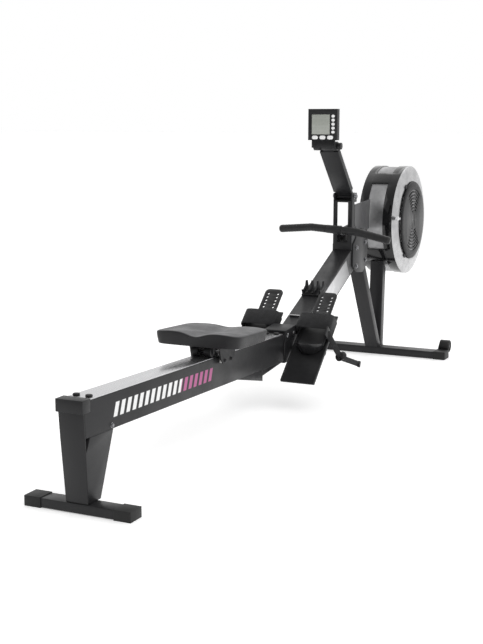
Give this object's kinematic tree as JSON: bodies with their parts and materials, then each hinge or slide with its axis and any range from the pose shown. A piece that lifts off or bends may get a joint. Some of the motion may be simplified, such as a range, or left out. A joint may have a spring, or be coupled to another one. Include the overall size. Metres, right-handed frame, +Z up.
{
  "type": "rowing machine",
  "caption": "Air-resistance rowing machine: seat sliding on a low inclined rail, pull handle on a strap, fan drum, hinged footrests and a monitor on an arm.",
  "frame": {"origin": "on the floor, at the middle of the footprint", "axes": "+Z up, +Y from the rear of the rail towards the fan, +X to the seated rower's right"},
  "size_m": [0.61, 2.592, 0.975],
  "materials": {
    "frame_black": "satin powder coat",
    "moulded_black": "moulded",
    "gloss_black": "glossy",
    "moulded_grey": "satin",
    "panel_grey": "satin",
    "brushed_track": "brushed",
    "silver_band": "perforated",
    "silver_ring": "satin",
    "bright_steel": "zinc plated",
    "black_rubber": "matte",
    "seat_foam": "moulded foam",
    "webbing": "woven",
    "nylon": "smooth",
    "monitor_shell": "fine texture",
    "lcd": "clear window",
    "white_button": "silicone"
  },
  "bodies": {
    "frame": {"rear_foot_tube": "frame_black", "front_foot_tube": "frame_black", "foot_caps": "black_rubber", "rear_leg": "frame_black", "rail_end_cap": "moulded_black", "rail": "frame_black", "rail_track": "brushed_track", "seat_stops": "black_rubber", "rail_gusset": "frame_black", "rail_receiver": "moulded_grey", "coupler_cover": "frame_black", "main_beam": "frame_black", "beam_panels": "panel_grey", "upright": "frame_black", "gusset_plates": "frame_black", "frame_bolts": "bright_steel", "front_strut": "frame_black", "front_post": "frame_black", "drum_neck": "moulded_grey", "strap_guide": "moulded_grey", "handle_cradle": "moulded_black", "drum_frame": "gloss_black", "drum_band": "silver_band", "left_cover": "gloss_black", "right_cover_ring": "silver_ring", "right_cover_cap": "gloss_black", "flywheel_axle": "bright_steel", "foot_bracket": "frame_black", "footplates": "moulded_black", "foot_straps": "webbing", "recoil_spring": "bright_steel"},
    "wheel_left": {"transport_wheel_left": "black_rubber"},
    "wheel_right": {"transport_wheel_right": "black_rubber"},
    "fan": {"flywheel": "bright_steel", "flywheel_bearings": "bright_steel"},
    "damper": {"damper_lever": "moulded_black"},
    "spool": {"strap_spool": "moulded_black"},
    "strap_roller": {"guide_roller": "nylon"},
    "handle": {"handle_grip": "black_rubber", "handle_yoke": "moulded_black", "drive_strap": "webbing"},
    "footrest_left": {"foot_slider_left": "moulded_black"},
    "footrest_right": {"foot_slider_right": "moulded_black"},
    "seat": {"seat_pad": "seat_foam", "seat_carriage": "frame_black", "seat_guides": "nylon"},
    "roller_front": {"seat_roller_front": "moulded_black"},
    "roller_rear": {"seat_roller_rear": "moulded_black"},
    "arm": {"monitor_arm": "frame_black"},
    "monitor": {"monitor_bracket": "moulded_black", "monitor_case": "monitor_shell", "monitor_screen": "lcd"},
    "key_1": {"side_button_1": "white_button"},
    "key_2": {"side_button_2": "white_button"},
    "key_3": {"side_button_3": "white_button"},
    "key_4": {"side_button_4": "white_button"},
    "key_5": {"side_button_5": "white_button"},
    "menu_1": {"menu_button_1": "white_button"},
    "menu_2": {"menu_button_2": "white_button"},
    "menu_3": {"menu_button_3": "white_button"}
  },
  "joints": [
    {"name": "seat_slide", "type": "slide", "parent": "frame", "child": "seat", "axis": [0, 0.9995, -0.0314], "range_m": [-0.595, 0.335]},
    {"name": "seat_roller_front_spin", "type": "hinge", "parent": "seat", "child": "roller_front", "pos_m": [0, -0.48952, 0.27649], "axis": [1, 0, 0], "range_deg": [-1210, 2140]},
    {"name": "seat_roller_rear_spin", "type": "hinge", "parent": "seat", "child": "roller_rear", "pos_m": [0, -0.60946, 0.28026], "axis": [1, 0, 0], "range_deg": [-1210, 2140]},
    {"name": "handle_pull", "type": "slide", "parent": "frame", "child": "handle", "axis": [0, -1, 0], "range_m": [0, 1.1], "stiffness_N_per_m": 15, "springref_m": -0.6, "deforming": ["drive_strap"]},
    {"name": "spool_turn", "type": "hinge", "parent": "frame", "child": "spool", "pos_m": [0, 1.077, 0.533], "axis": [1, 0, 0], "range_deg": [-5, 1760], "deforming": ["recoil_spring"]},
    {"name": "strap_roller_turn", "type": "hinge", "parent": "frame", "child": "strap_roller", "pos_m": [0, 0.546, 0.5274], "axis": [1, 0, 0], "range_deg": [-5, 4510]},
    {"name": "fan_spin", "type": "hinge", "parent": "frame", "child": "fan", "pos_m": [0, 1.077, 0.533], "axis": [1, 0, 0], "continuous": true},
    {"name": "damper_turn", "type": "hinge", "parent": "frame", "child": "damper", "pos_m": [0, 1.077, 0.533], "axis": [1, 0, 0], "range_deg": [-32, 32]},
    {"name": "wheel_left_spin", "type": "hinge", "parent": "frame", "child": "wheel_left", "pos_m": [-0.283, 0.961, 0.042], "axis": [1, 0, 0], "continuous": true},
    {"name": "wheel_right_spin", "type": "hinge", "parent": "frame", "child": "wheel_right", "pos_m": [0.283, 0.961, 0.042], "axis": [1, 0, 0], "continuous": true},
    {"name": "footrest_left_slide", "type": "slide", "parent": "frame", "child": "footrest_left", "axis": [0, 0.7431, 0.6691], "range_m": [-0.0294, 0.0294]},
    {"name": "footrest_right_slide", "type": "slide", "parent": "frame", "child": "footrest_right", "axis": [0, 0.7431, 0.6691], "range_m": [-0.0294, 0.0294]},
    {"name": "monitor_arm_hinge", "type": "hinge", "parent": "frame", "child": "arm", "pos_m": [0, 0.546, 0.659], "axis": [1, 0, 0], "range_deg": [-42, 12]},
    {"name": "monitor_tilt", "type": "hinge", "parent": "arm", "child": "monitor", "pos_m": [0, 0.366, 0.846], "axis": [1, 0, 0], "range_deg": [-20, 25]},
    {"name": "key_1_press", "type": "slide", "parent": "monitor", "child": "key_1", "axis": [0, 1, 0], "range_m": [0, 0.0015], "stiffness_N_per_m": 150},
    {"name": "key_2_press", "type": "slide", "parent": "monitor", "child": "key_2", "axis": [0, 1, 0], "range_m": [0, 0.0015], "stiffness_N_per_m": 150},
    {"name": "key_3_press", "type": "slide", "parent": "monitor", "child": "key_3", "axis": [0, 1, 0], "range_m": [0, 0.0015], "stiffness_N_per_m": 150},
    {"name": "key_4_press", "type": "slide", "parent": "monitor", "child": "key_4", "axis": [0, 1, 0], "range_m": [0, 0.0015], "stiffness_N_per_m": 150},
    {"name": "key_5_press", "type": "slide", "parent": "monitor", "child": "key_5", "axis": [0, 1, 0], "range_m": [0, 0.0015], "stiffness_N_per_m": 150},
    {"name": "menu_1_press", "type": "slide", "parent": "monitor", "child": "menu_1", "axis": [0, 1, 0], "range_m": [0, 0.0015], "stiffness_N_per_m": 150},
    {"name": "menu_2_press", "type": "slide", "parent": "monitor", "child": "menu_2", "axis": [0, 1, 0], "range_m": [0, 0.0015], "stiffness_N_per_m": 150},
    {"name": "menu_3_press", "type": "slide", "parent": "monitor", "child": "menu_3", "axis": [0, 1, 0], "range_m": [0, 0.0015], "stiffness_N_per_m": 150}
  ],
  "couplings": [
    {"joint": "seat_roller_front_spin", "follows": "seat_slide", "rad_per_m": -62.5},
    {"joint": "seat_roller_rear_spin", "follows": "seat_slide", "rad_per_m": -62.5},
    {"joint": "spool_turn", "follows": "handle_pull", "rad_per_m": 27.778},
    {"joint": "strap_roller_turn", "follows": "handle_pull", "rad_per_m": 71.429}
  ]
}
